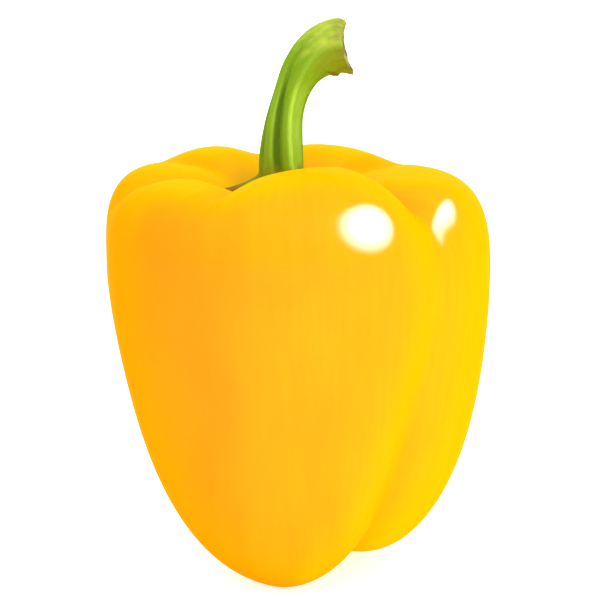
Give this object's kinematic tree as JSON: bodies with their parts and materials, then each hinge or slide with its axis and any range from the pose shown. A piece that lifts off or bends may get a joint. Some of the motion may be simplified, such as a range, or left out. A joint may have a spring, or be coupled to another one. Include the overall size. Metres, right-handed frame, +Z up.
{
  "type": "bell pepper",
  "caption": "Whole blocky bell pepper with a lobed, furrowed pod that stands on its feet, a sunk top, and a ribbed green stem bent over to a flared cut end.",
  "frame": {"origin": "middle of the pepper's outline seen from above, on the surface that it stands on", "axes": "+Z up along the pod, towards the stem; the bent stem points along +X; the front that the picture shows looks along -Y"},
  "size_m": [0.0846, 0.088, 0.123],
  "materials": {
    "fruit_skin": "waxy, glossy yellow-orange skin",
    "stem_green": "satin, ribbed green stalk with a dry, corky cut end"
  },
  "bodies": {
    "root": {"fruit": "fruit_skin", "stem": "stem_green"}
  },
  "joints": []
}
